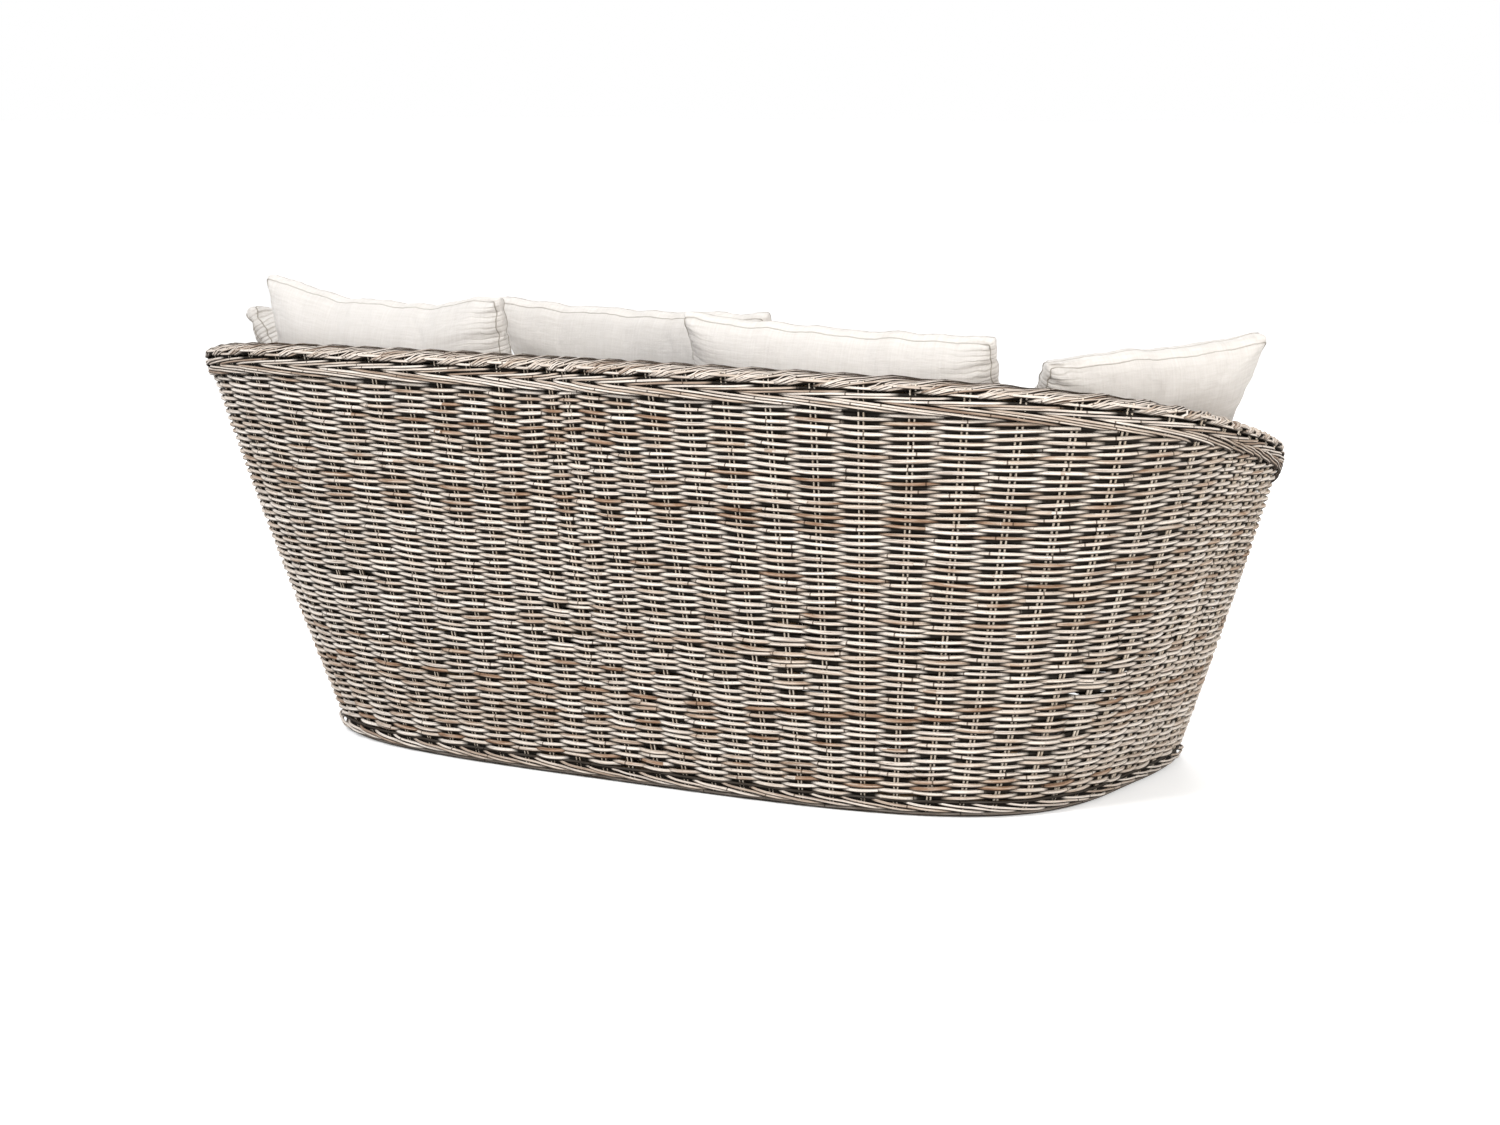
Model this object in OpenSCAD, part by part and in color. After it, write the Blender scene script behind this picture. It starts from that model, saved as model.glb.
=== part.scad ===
// Rattan garden daybed: a flared, woven tub on a pole frame, with a slatted seat,
// a seat cushion and five loose cushions. Millimetres, +Z up, the front faces -Y,
// and the origin is on the floor in the middle of the overall outline.

/* [Tub outline] */
// Length of the flared outline at the height of the back rim
top_length = 2000; // [1900:10:2100]
// Depth of the flared outline at the height of the back rim
top_depth = 1015; // [965:5:1065]
// Squareness of the outline at the back rim's height, 2 is an ellipse
top_squareness = 2.8; // [2.5:0.1:3.2]
// Length of the outline on the floor
base_length = 1454; // [1400:2:1510]
// Depth of the outline on the floor
base_depth = 820; // [790:2:850]
// Squareness of the outline on the floor
base_squareness = 3.6; // [3.2:0.1:4]
// How far the floor outline stands forward of the rim outline
base_forward = 70; // [50:2:90]
// Height of the rim at the middle of the back
back_height = 702; // [670:2:740]
// Height of the rim at the middle of the front
front_height = 360; // [345:1:380]
// Shape of the rim's sweep from front to back, 0.5 is a round scoop
rim_sweep = 0.5; // [0.45:0.01:0.6]
// How far the wall bellies out, as a share of its flare
wall_belly_share = 0.12; // [0.08:0.01:0.16]

/* [Weave] */
// Thickness of one layer of woven strands
strand_thickness = 8; // [6:0.5:9]
// How far the borders stand proud of the weave
border_stand = 6; // [4:0.5:8]
// Diameter of one upright stake
stake_diameter = 4.4; // [3.6:0.2:5]
// Distance between the two stakes of a pair
stake_gap = 8.2; // [7:0.2:10]
// Number of stake pairs round the tub
stake_pairs = 76; // [60:4:80]
// Play between the stakes and the layers they stand between
weave_slack = 0.7; // [0.4:0.1:0.9]
// Height of the rolled border on top of the rim
roll_height = 17; // [15:1:21]
// Width of the rolled border across the rim
roll_width = 80; // [77:1:86]
// Height over which the stakes show under the rolled border
stake_show = 8; // [6:1:11]
// Height of the waled band under the rim
wale_height = 30; // [26:1:36]
// Height of the border at the floor
foot_border_height = 22; // [18:1:28]

/* [Pole frame] */
// Diameter of the hoops and posts
pole_diameter = 28; // [26:0.5:30]
// Diameter of the bearers under the seat
bearer_diameter = 26; // [24:0.5:28]
// Diameter of the legs under the middle of the seat
leg_diameter = 26; // [24:0.5:28]
// Height of the glides
glide_height = 5; // [4:0.5:8]
// Diameter of the glides
glide_diameter = 24; // [20:1:26]

/* [Seat deck] */
// Height of the top of the slats
deck_height = 265; // [255:1:275]
// Width of one slat
slat_width = 60; // [50:1:70]
// Thickness of the slats
slat_thickness = 12; // [10:0.5:16]
// Gap between two slats
slat_gap = 18; // [14:1:26]
// Diameter of the slat screws
screw_diameter = 4; // [3:0.5:5]
// Diameter of the slat screws' heads
screw_head_diameter = 8; // [7:0.5:9]
// Length of the slat screws
screw_length = 28; // [22:1:32]

/* [Cushions] */
// Thickness of the seat cushion at its seams
seat_thickness = 118; // [100:1:135]
// Rise of the seat cushion's crown above its seam
seat_crown = 16; // [8:1:22]
// Gap between the seat cushion and the inner edge of the rolled border, seen in plan
seat_gap = 5; // [3:0.5:9]
// Width of the three back cushions
back_cushion_width = 530; // [500:5:545]
// Height of the three back cushions
back_cushion_height = 388; // [370:2:400]
// Thickness of the back cushions at the crown
back_cushion_thickness = 120; // [100:2:130]
// Width and height of the two end cushions
end_cushion_size = 385; // [360:5:400]
// Thickness of the end cushions at the crown
end_cushion_thickness = 125; // [100:5:130]
// Width of the strip sewn between the two faces of a loose cushion
gusset_width = 28; // [20:1:32]
// How far a loose cushion's sides draw in between its corners
draw_in = 20; // [12:1:26]

/* [Hidden] */
$fn = 32;

// Clearance between pieces that seat on each other
fit_clearance = 0.3;
// Clearance in a pole's cope, round the hoop it is fitted to
cope_clearance = 0.6;
// Extra clearance under the rolled border, for the rim's slope
slope_clearance = 3.2;
// Room between the stakes and the poles, which the wall's belly brings nearer half way up
belly_clearance = 0.8;
// Overrun of every cut
overrun = 1;
// Facets round the tub, and vertices round a hoop's section
ring_count = 96;
hoop_sides = 8;
// Every this many facets there is a post
post_step = 8;

// The outlines
// A signed power, which squares off the ellipse
function spow(v, p) = sign(v) * pow(abs(v), p);
function outline(t, length, depth, squareness) =
    [length / 2 * spow(cos(t), 2 / squareness), depth / 2 * spow(sin(t), 2 / squareness)];
function base_outline(t) = outline(t, base_length, base_depth, base_squareness) - [0, base_forward];
function top_outline(t) = outline(t, top_length, top_depth, top_squareness);
function flare(z) = let (s = z / back_height) s + wall_belly_share * s * (1 - s);
function centred_wall(t, z) = base_outline(t) + (top_outline(t) - base_outline(t)) * flare(z);

// The middle between the rearmost and the foremost reach of the rim becomes y = 0
middle_y = (centred_wall(90, back_height - roll_height)[1]
            + centred_wall(-90, front_height - roll_height)[1]) / 2;
function wall(t, z) = centred_wall(t, z) - [0, middle_y];

// Facets are spread evenly by length along the floor outline
fine_steps = 360;
fine_turn = 90 / fine_steps;
fine_lengths = [for (i = 0, run = 0; i <= fine_steps;
                     run = run + norm(base_outline((i + 1) * fine_turn) - base_outline(i * fine_turn)),
                     i = i + 1) [run, i * fine_turn]];
quarter_length = fine_lengths[fine_steps][0];
quarter = ring_count / 4;
quarter_t = [for (i = [0:quarter]) lookup(i * quarter_length / quarter, fine_lengths)];
function folded_t(i) = let (q = floor(i / quarter), r = i - q * quarter)
    q == 0 ? quarter_t[r]
    : q == 1 ? 180 - quarter_t[quarter - r]
    : q == 2 ? 180 + quarter_t[r]
    : 360 - quarter_t[quarter - r];
ring_t = [for (i = [0:ring_count - 1]) folded_t(i)];

// The level line's outward direction in plan
slope_step = 0.5;
function outward(t, z) = let (along = wall(t + slope_step, z) - wall(t - slope_step, z))
    [along[1], -along[0]] / norm(along);
function vertex(i, z, depth) = let (t = ring_t[i % ring_count]) wall(t, z) - depth * outward(t, z);
function mix(a, b, f) = a + (b - a) * f;
// A point on the faceted wall, at a place between two of its vertices
function on_ring(place, z, depth) = let (i = floor(place), f = place - i)
    mix(vertex(i, z, depth), vertex(i + 1, z, depth), f);
function on_ring3(place, z, depth) = let (p = on_ring(place, z, depth)) [p[0], p[1], z];
function vertex3(i, z, depth) = let (p = vertex(i, z, depth)) [p[0], p[1], z];

// Height of the rim along the sweep
function rim_of(t) = front_height + (back_height - front_height)
    * pow((1 + spow(sin(t), 2 / top_squareness)) / 2, rim_sweep);
rim_heights = [for (t = ring_t) rim_of(t)];
function rim(place) = let (i = floor(place), f = place - i)
    mix(rim_heights[i % ring_count], rim_heights[(i + 1) % ring_count], f);

// Faces of a tube that closes on itself, with rings of the same count
function tube_faces(rings, sides) = [for (i = [0:rings - 1]) for (j = [0:sides - 1])
    let (a = i * sides + j, b = i * sides + (j + 1) % sides,
         c = ((i + 1) % rings) * sides + j, d = ((i + 1) % rings) * sides + (j + 1) % sides)
    each [[a, b, d], [a, d, c]]];

// A closed band round the tub. A section runs up its face and down its back, and its points are
// [depth, height, share of the rim's height]
module band(section) {
    polyhedron(points = [for (i = [0:ring_count - 1]) for (p = section)
                             vertex3(i, p[1] + p[2] * rim_heights[i], p[0])],
               faces = tube_faces(ring_count, len(section)));
}

// A pole hoop round the tub, with its middle at a depth and a height
function hoop_point(i, depth, height, rim_share) =
    vertex3(i, height + rim_share * rim_heights[i % ring_count], depth);
module hoop(depth, height, rim_share) {
    turn = 360 / hoop_sides;
    polyhedron(points = [for (i = [0:ring_count - 1]) for (k = [0:hoop_sides - 1])
                             let (c = hoop_point(i, depth, height, rim_share),
                                  out = outward(ring_t[i], c[2]), r = pole_diameter / 2)
                             c + r * [cos(k * turn) * out[0], cos(k * turn) * out[1], sin(k * turn)]],
               faces = tube_faces(ring_count, hoop_sides));
}

// A straight rod between two points
module rod(a, b, diameter) {
    run = b - a;
    translate(a) rotate([0, acos(run[2] / norm(run)), atan2(run[1], run[0])])
        cylinder(h = norm(run), d = diameter);
}
// What a hoop takes out of a pole that is coped to it: a pole along the hoop's direction there
module hoop_cutter(i, depth, height, rim_share) {
    before = hoop_point(i + ring_count - 1, depth, height, rim_share);
    after = hoop_point(i + 1, depth, height, rim_share);
    here = hoop_point(i, depth, height, rim_share);
    along = (after - before) / norm(after - before);
    rod(here - along * pole_diameter, here + along * pole_diameter, pole_diameter + 2 * cope_clearance);
}

// Depths from the border's face inward, and heights from the floor up. The stakes lie against the
// outside of the pole frame, which is straight inside the bellied wall, so the lining stays further in
weave_face = border_stand;
weave_back = weave_face + strand_thickness;
stake_depth = weave_back + weave_slack + stake_diameter / 2;
pole_depth = stake_depth + stake_diameter / 2 + belly_clearance + pole_diameter / 2;
end_flare = (top_length - base_length) / 2;
belly_peak_share = 0.25;
belly_room = wall_belly_share * end_flare * belly_peak_share;
lining_stake_depth = pole_depth + pole_diameter / 2 + belly_room + weave_slack + stake_diameter / 2;
lining_back = lining_stake_depth + stake_diameter / 2 + weave_slack;
lining_face = lining_back + strand_thickness;
foot_hoop_height = glide_height + fit_clearance + pole_diameter / 2;
under_slats = deck_height - slat_thickness;
bearer_height = under_slats - fit_clearance - bearer_diameter / 2;
seat_hoop_height = under_slats - fit_clearance - pole_diameter / 2;
// The seat hoop lies against the inner side of the leaning posts
end_lean = atan(end_flare / back_height);
seat_belly_share = 0.9;
seat_hoop_depth = pole_depth + (pole_diameter + fit_clearance) / cos(end_lean) + seat_belly_share * belly_room;
under_roll_drop = roll_height + fit_clearance + slope_clearance;
rim_hoop_drop = under_roll_drop + pole_diameter / 2;
wale_top_drop = roll_height + stake_show;
wale_foot_drop = wale_top_drop + wale_height;
foot_border_foot = glide_height;
foot_border_top = foot_border_foot + foot_border_height;

module foot_hoop() color("peru") hoop(pole_depth, foot_hoop_height, 0);
module seat_hoop() color("peru") hoop(seat_hoop_depth, seat_hoop_height, 0);
module rim_hoop() color("peru") hoop(pole_depth, -rim_hoop_drop, 1);

// Posts run from hoop to hoop and are coped to both
module post(i) {
    difference() {
        rod(hoop_point(i, pole_depth, foot_hoop_height, 0), hoop_point(i, pole_depth, -rim_hoop_drop, 1),
            pole_diameter);
        hoop_cutter(i, pole_depth, foot_hoop_height, 0);
        hoop_cutter(i, pole_depth, -rim_hoop_drop, 1);
    }
}
back_places = [for (i = [1:ring_count / 2 / post_step - 1]) i * post_step];
end_places = [0, ring_count / 2];
front_places = [for (i = [1:ring_count / 2 / post_step - 1]) ring_count / 2 + i * post_step];
post_places = concat(end_places, back_places, front_places);
module back_posts() color("burlywood") for (i = back_places) post(i);
module end_posts() color("burlywood") for (i = end_places) post(i);
module front_posts() color("burlywood") for (i = front_places) post(i);

// Slats run the length of the seat, as long as the lining allows
slat_edge_gap = 2;
seat_half = [for (i = [0:quarter]) 
    let (p = vertex(i, under_slats, lining_face + slat_edge_gap)) [p[1], p[0]]];
seat_middle_y = seat_half[0][0];
seat_reach = seat_half[quarter][0] - seat_middle_y;
slat_pitch = slat_width + slat_gap;
slats_each_side = floor((seat_reach - slat_width / 2 - slat_gap / 2) / slat_pitch);
slat_middles = [for (k = [-slats_each_side:slats_each_side]) seat_middle_y + k * slat_pitch];
function slat_half_length(y) =
    lookup(seat_middle_y + abs(y - seat_middle_y) + slat_width / 2, seat_half);
// Bearers cross the seat from the front to the back of the seat hoop
bearer_step = quarter / 4;
bearer_places = [for (i = [-2:2]) quarter + i * bearer_step];
function seat_hoop_point(i) = vertex3(i, bearer_height, seat_hoop_depth);
function across(i) = ring_count - i;
screw_edge = 12;
screw_points = [for (i = bearer_places) for (y = slat_middles)
    if (abs(seat_hoop_point(i)[0]) < slat_half_length(y) - screw_edge) [seat_hoop_point(i)[0], y]];
screw_clearance = 0.1;
module screw_shank(p, extra) {
    translate([p[0], p[1], deck_height - screw_length - extra])
        cylinder(h = screw_length + extra + overrun * sign(extra), d = screw_diameter + 2 * extra);
}
module screw_head(p, extra) {
    head_height = (screw_head_diameter - screw_diameter) / 2;
    translate([p[0], p[1], deck_height - head_height])
        cylinder(h = head_height, d1 = screw_diameter + 2 * extra, d2 = screw_head_diameter + 2 * extra);
}
module seat_bearers() color("burlywood") for (i = bearer_places) difference() {
    rod(seat_hoop_point(i), seat_hoop_point(across(i)), bearer_diameter);
    hoop_cutter(i, seat_hoop_depth, seat_hoop_height, 0);
    hoop_cutter(across(i), seat_hoop_depth, seat_hoop_height, 0);
    for (p = screw_points) if (p[0] == seat_hoop_point(i)[0]) screw_shank(p, screw_clearance);
}

// The legs stand under the three middle bearers
leg_places = [for (i = [-1:1]) quarter + i * bearer_step];
function leg_point(i, z) = let (middle = (seat_hoop_point(i) + seat_hoop_point(across(i))) / 2)
    [middle[0], middle[1], z];
module centre_legs() color("burlywood") for (i = leg_places) difference() {
    rod(leg_point(i, glide_height + fit_clearance), leg_point(i, bearer_height), leg_diameter);
    rod(leg_point(i, bearer_height) - [0, leg_diameter, 0], leg_point(i, bearer_height) + [0, leg_diameter, 0],
        bearer_diameter + 2 * fit_clearance);
}
module glides() color("dimgray") {
    for (i = post_places) translate(vertex3(i, 0, pole_depth)) cylinder(h = glide_height, d = glide_diameter);
    for (i = leg_places) translate(leg_point(i, 0)) cylinder(h = glide_height, d = glide_diameter);
}

slat_chamfer = 3;
module slat(y) {
    half = slat_half_length(y);
    side = slat_width / 2;
    translate([-half, y, under_slats]) rotate([90, 0, 90]) linear_extrude(2 * half)
        polygon([[-side, 0], [side, 0], [side, slat_thickness - slat_chamfer], [side - slat_chamfer, slat_thickness],
                 [-side + slat_chamfer, slat_thickness], [-side, slat_thickness - slat_chamfer]]);
}
module seat_slats() color("tan") for (y = slat_middles) difference() {
    slat(y);
    for (p = screw_points) if (p[1] == y) {
        screw_shank(p, screw_clearance);
        screw_head(p, screw_clearance);
    }
}
module slat_screws() color("silver") for (p = screw_points) union() {
    screw_shank(p, 0);
    screw_head(p, 0);
}

// Twin stakes, straight from the floor border to the rolled border
stake_facets = 16;
function stake_place(k) = (k + 0.5) * ring_count / stake_pairs;
function beside(place, z, depth, shift) =
    let (i = floor(place), a = vertex(i, z, depth), b = vertex(i + 1, z, depth),
         p = on_ring(place, z, depth) + shift * (b - a) / norm(b - a)) [p[0], p[1], z];
module stake(place, depth, foot, shift) {
    rod(beside(place, foot, depth, shift),
        beside(place, rim(place) - under_roll_drop - stake_diameter / 2, depth, shift),
        stake_diameter, $fn = stake_facets);
}
module stakes() color("wheat") for (k = [0:stake_pairs - 1]) for (side = [-1, 1])
    stake(stake_place(k), stake_depth, foot_border_foot, side * stake_gap / 2);
module lining_stakes() color("wheat") for (k = [0:stake_pairs - 1]) for (side = [-1, 1])
    stake(stake_place(k), lining_stake_depth, under_slats, side * stake_gap / 2);

// Woven walls, as closed bands between the borders. The outer one bellies out half way up
knee_share = 0.5;
module outer_weave() color("tan") band([
    [weave_face, foot_border_top + fit_clearance, 0],
    [weave_face, 0, knee_share],
    [weave_face, -wale_foot_drop - fit_clearance, 1],
    [weave_back, -wale_foot_drop - fit_clearance, 1],
    [weave_back, 0, knee_share],
    [weave_back, foot_border_top + fit_clearance, 0]]);
module lining_weave() color("tan") band([
    [lining_back, under_slats, 0],
    [lining_back, -under_roll_drop, 1],
    [lining_face, -under_roll_drop, 1],
    [lining_face, under_slats, 0]]);

// Borders: a plaited foot, a waled band under the rim, and the strands rolled over the top
border_round_share = 0.25;
module border(foot, top, rim_share, face, back) {
    round_in = (back - face) * border_round_share;
    round_up = (top - foot) * border_round_share;
    band([[face + round_in, foot, rim_share], [face, foot + round_up, rim_share], [face, top - round_up, rim_share],
          [face + round_in, top, rim_share], [back, top, rim_share], [back, foot, rim_share]]);
}
module foot_border() color("rosybrown") border(foot_border_foot, foot_border_top, 0, 0, weave_back);
module rim_wale() color("rosybrown") border(-wale_foot_drop, -wale_top_drop, 1, 0, weave_back);
// The rolled border is one bundle of strands after another, each arched over the rim on a slant. Its
// slices tell how far across the bundle they lie, and how far they sink below its crest
roll_sides = 5;
roll_set_in = 2;
roll_slant = 1.5;
roll_slices = [[-1, 1], [-0.45, 0], [0.45, 0], [1, 1]];
roll_valley = 5;
roll_side_valley = 4;
bundle_share = 0.985;
module roll_bundle(k) {
    points_each = roll_sides + 1;
    slices = len(roll_slices);
    pitch = ring_count / stake_pairs;
    points = [for (slice = roll_slices) for (j = [0:roll_sides])
        let (a = 180 * j / roll_sides,
             place = ring_count + stake_place(k)
                     + pitch * (slice[0] * bundle_share / 2 - roll_slant / 2 * cos(a)),
             depth = roll_set_in + roll_width / 2 - (roll_width / 2 - roll_side_valley * slice[1]) * cos(a),
             height = rim(place) - roll_height + (roll_height - roll_valley * slice[1]) * sin(a))
        on_ring3(place, height, depth)];
    last = (slices - 1) * points_each;
    polyhedron(points = points, faces = concat(
        [for (i = [0:slices - 2]) for (j = [0:roll_sides])
            let (a = i * points_each + j, b = i * points_each + (j + 1) % points_each,
                 c = a + points_each, d = b + points_each) each [[a, d, b], [a, c, d]]],
        [for (j = [1:roll_sides - 1]) [0, j, j + 1]],
        [for (j = [1:roll_sides - 1]) [last, last + j + 1, last + j]]));
}
module rim_roll() color("rosybrown") for (k = [0:stake_pairs - 1]) roll_bundle(k);

// The seat cushion: boxed sides that follow the tub, clear of the rolled border, and a crowned top
seat_foot = deck_height + fit_clearance;
seat_seam = seat_foot + seat_thickness;
seat_ring_shares = [1, 0.94, 0.8, 0.55];
seat_side_bulge = 3;
function seat_crown_at(share) = seat_crown * (1 - pow(share, 4));
seat_depth = max(lining_face, roll_set_in + roll_width) + seat_gap;
module seat_cushion() {
    n = ring_count;
    middle = (vertex(0, seat_seam, seat_depth) + vertex(n / 2, seat_seam, seat_depth)) / 2;
    function shrunk(i, z, depth, share) = let (p = mix(middle, vertex(i, z, depth), share)) [p[0], p[1], z];
    rings = concat(
        [[for (i = [0:n - 1]) shrunk(i, seat_foot, seat_depth + seat_side_bulge, 1)]],
        [[for (i = [0:n - 1]) shrunk(i, (seat_foot + seat_seam) / 2, seat_depth, 1)]],
        [for (share = seat_ring_shares) [for (i = [0:n - 1])
            let (p = shrunk(i, seat_seam, seat_depth + seat_side_bulge, share))
            [p[0], p[1], seat_seam + seat_crown_at(share)]]]);
    count = len(rings);
    points = concat([for (r = rings) each r], [[middle[0], middle[1], seat_foot],
                    [middle[0], middle[1], seat_seam + seat_crown]]);
    sides = [for (r = [0:count - 2]) for (i = [0:n - 1])
        let (a = r * n + i, b = r * n + (i + 1) % n, c = a + n, d = b + n) each [[a, c, d], [a, d, b]]];
    foot = [for (i = [0:n - 1]) [count * n, i, (i + 1) % n]];
    top = [for (i = [0:n - 1]) [count * n + 1, (count - 1) * n + (i + 1) % n, (count - 1) * n + i]];
    color("linen") polyhedron(points = points, faces = concat(sides, foot, top));
}

// A loose cushion, upright in its own plane with its foot at the origin. Its two faces are crowned,
// its four sides draw in between the corners and a strip joins the faces
cushion_columns = 14;
cushion_rows = 10;
crown_power = 0.4;
function spread(k, count) = sin(180 * k / count - 90);
module loose_cushion(width, height, thickness) {
    m = cushion_columns + 1;
    n = cushion_rows + 1;
    function face_point(i, j, side) =
        let (u = spread(i, cushion_columns), v = spread(j, cushion_rows),
             bulge = pow(max(0, (1 - u * u) * (1 - v * v)), crown_power))
        [u * (width / 2 - draw_in * (1 - v * v)), v * (height / 2 - draw_in * (1 - u * u)) + height / 2,
         side * (gusset_width / 2 + (thickness - gusset_width) / 2 * bulge)];
    points = [for (side = [-1, 1]) for (j = [0:cushion_rows]) for (i = [0:cushion_columns]) face_point(i, j, side)];
    function at(side, i, j) = side * m * n + j * m + i;
    faces = concat(
        [for (j = [0:cushion_rows - 1]) for (i = [0:cushion_columns - 1]) each [
            [at(1, i, j), at(1, i, j + 1), at(1, i + 1, j + 1)], [at(1, i, j), at(1, i + 1, j + 1), at(1, i + 1, j)],
            [at(0, i, j), at(0, i + 1, j), at(0, i + 1, j + 1)], [at(0, i, j), at(0, i + 1, j + 1), at(0, i, j + 1)]]],
        [for (i = [0:cushion_columns - 1]) each [
            [at(0, i, 0), at(1, i, 0), at(1, i + 1, 0)], [at(0, i, 0), at(1, i + 1, 0), at(0, i + 1, 0)],
            [at(0, i, n - 1), at(0, i + 1, n - 1), at(1, i + 1, n - 1)],
            [at(0, i, n - 1), at(1, i + 1, n - 1), at(1, i, n - 1)]]],
        [for (j = [0:cushion_rows - 1]) each [
            [at(0, 0, j), at(0, 0, j + 1), at(1, 0, j + 1)], [at(0, 0, j), at(1, 0, j + 1), at(1, 0, j)],
            [at(0, m - 1, j), at(1, m - 1, j), at(1, m - 1, j + 1)],
            [at(0, m - 1, j), at(1, m - 1, j + 1), at(0, m - 1, j + 1)]]]);
    polyhedron(points = points, faces = faces);
}

// Stands a cushion on the seat: the middle of its foot, its turn, its lean and its tilt in its own plane
module lean_on_seat(width, height, thickness, foot, turn, lean, tilt) {
    rise = gusset_width / 2 * sin(lean) + width / 2 * sin(abs(tilt)) * cos(lean);
    translate([foot[0], foot[1], seat_seam + seat_crown_at(foot[2]) + 3 * fit_clearance + rise])
        rotate([0, 0, turn]) rotate([90 - lean, 0, 0]) rotate([0, 0, tilt])
        loose_cushion(width, height, thickness);
}

// Places of the loose cushions. The shares tell how far to the side and to the back a foot's middle
// stands on its way to the lining, and how far out on the seat's crown
side_reach = vertex(0, seat_seam, lining_face)[0];
rear_reach = vertex(quarter, seat_seam, lining_face)[1];
function standing(shares) = [shares[0] * side_reach, shares[1] * rear_reach, shares[2]];
far_back_shares = [0.547, 0.728, 0.93];
far_back_turn = -7.2;
far_back_lean = 13.3;
far_back_tilt = 1.2;
middle_back_shares = [0.008, 0.245, 0.575];
middle_back_turn = -4.1;
middle_back_lean = 23.2;
middle_back_tilt = 0.4;
near_back_shares = [-0.507, 0.569, 0.952];
near_back_turn = 2.1;
near_back_lean = 22.7;
near_back_tilt = 2.2;
far_end_shares = [0.853, -0.011, 0.928];
far_end_turn = -90;
far_end_lean = 29.7;
near_end_shares = [-0.806, -0.079, 0.785];
near_end_turn = 59;
near_end_lean = 35.2;
near_end_tilt = -2.5;
module far_back_cushion() color("ivory")
    lean_on_seat(back_cushion_width, back_cushion_height, back_cushion_thickness,
                 standing(far_back_shares), far_back_turn, far_back_lean, far_back_tilt);
module middle_back_cushion() color("ivory")
    lean_on_seat(back_cushion_width, back_cushion_height, back_cushion_thickness,
                 standing(middle_back_shares), middle_back_turn, middle_back_lean, middle_back_tilt);
module near_back_cushion() color("ivory")
    lean_on_seat(back_cushion_width, back_cushion_height, back_cushion_thickness,
                 standing(near_back_shares), near_back_turn, near_back_lean, near_back_tilt);
module far_end_cushion() color("ivory")
    lean_on_seat(end_cushion_size, end_cushion_size, end_cushion_thickness,
                 standing(far_end_shares), far_end_turn, far_end_lean, 0);
module near_end_cushion() color("ivory")
    lean_on_seat(end_cushion_size, end_cushion_size, end_cushion_thickness,
                 standing(near_end_shares), near_end_turn, near_end_lean, near_end_tilt);

foot_hoop();
seat_hoop();
rim_hoop();
back_posts();
end_posts();
front_posts();
centre_legs();
seat_bearers();
seat_slats();
slat_screws();
glides();
stakes();
lining_stakes();
outer_weave();
lining_weave();
foot_border();
rim_wale();
rim_roll();
seat_cushion();
far_end_cushion();
far_back_cushion();
middle_back_cushion();
near_back_cushion();
near_end_cushion();
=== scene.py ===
# %% [markdown]
# # A rattan garden daybed
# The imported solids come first: poles, slats, glides and plain stand-ins for the weave and the
# cushions. Everything woven or padded is then built here in its place, strand by strand.

# %% Load the solids
import math
import bpy
import numpy as np
from mathutils import Matrix, Vector


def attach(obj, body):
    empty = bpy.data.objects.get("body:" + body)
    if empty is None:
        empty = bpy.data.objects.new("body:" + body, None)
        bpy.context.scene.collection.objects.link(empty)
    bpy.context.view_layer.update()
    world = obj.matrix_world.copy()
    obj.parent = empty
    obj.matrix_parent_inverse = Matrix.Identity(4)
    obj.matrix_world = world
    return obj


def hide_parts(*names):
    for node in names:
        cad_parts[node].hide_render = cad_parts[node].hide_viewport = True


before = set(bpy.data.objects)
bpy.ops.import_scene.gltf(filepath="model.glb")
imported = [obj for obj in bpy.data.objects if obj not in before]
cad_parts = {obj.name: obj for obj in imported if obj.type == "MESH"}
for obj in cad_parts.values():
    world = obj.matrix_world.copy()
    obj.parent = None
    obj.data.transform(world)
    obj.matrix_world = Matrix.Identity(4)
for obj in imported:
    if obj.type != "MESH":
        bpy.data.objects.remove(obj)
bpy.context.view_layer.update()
MM = 0.001
chance = np.random.default_rng(76)

# %% [markdown]
# ## Camera
# The photograph was taken from behind, a little above the rim, with a long lens. The place and the
# angles were worked out from the rim and the floor line, and the camera's three axes follow from them.

# %% Camera
def unit(v):
    return v / np.linalg.norm(v, axis=-1, keepdims=True)


FOCAL_PIXELS, PHOTO_WIDTH = 3198.4, 1500
EYE = (-2.866, 4.4962, 1.161)
turn, pitch, bank = 0.56, 0.1574, -0.0055

forward = np.array([math.sin(turn) * math.cos(pitch), -math.cos(turn) * math.cos(pitch), -math.sin(pitch)])
level = np.array([-math.cos(turn), -math.sin(turn), 0.0])
upright = np.cross(level, forward)
right = level * math.cos(bank) + upright * math.sin(bank)
up = upright * math.cos(bank) - level * math.sin(bank)
lens = bpy.data.cameras.new("camera")
lens.sensor_width = 36
lens.lens = 36 * FOCAL_PIXELS / PHOTO_WIDTH
lens.clip_end = 60
camera = bpy.data.objects.new("camera", lens)
bpy.context.scene.collection.objects.link(camera)
camera.matrix_world = Matrix([(right[i], up[i], -forward[i], EYE[i]) for i in range(3)] + [(0, 0, 0, 1)])
bpy.context.scene.camera = camera
bpy.context.scene.view_settings.view_transform = "Standard"
print("camera at", tuple(round(v, 3) for v in camera.location), "lens", round(lens.lens, 2))

# %% [markdown]
# ## Shader maths in plain expressions
# A material here is a graph of nodes. One small class wraps a socket, so that `a * 2 + noise` adds the
# Math nodes by itself, and one method adds any other node from its settings and inputs.

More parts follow.
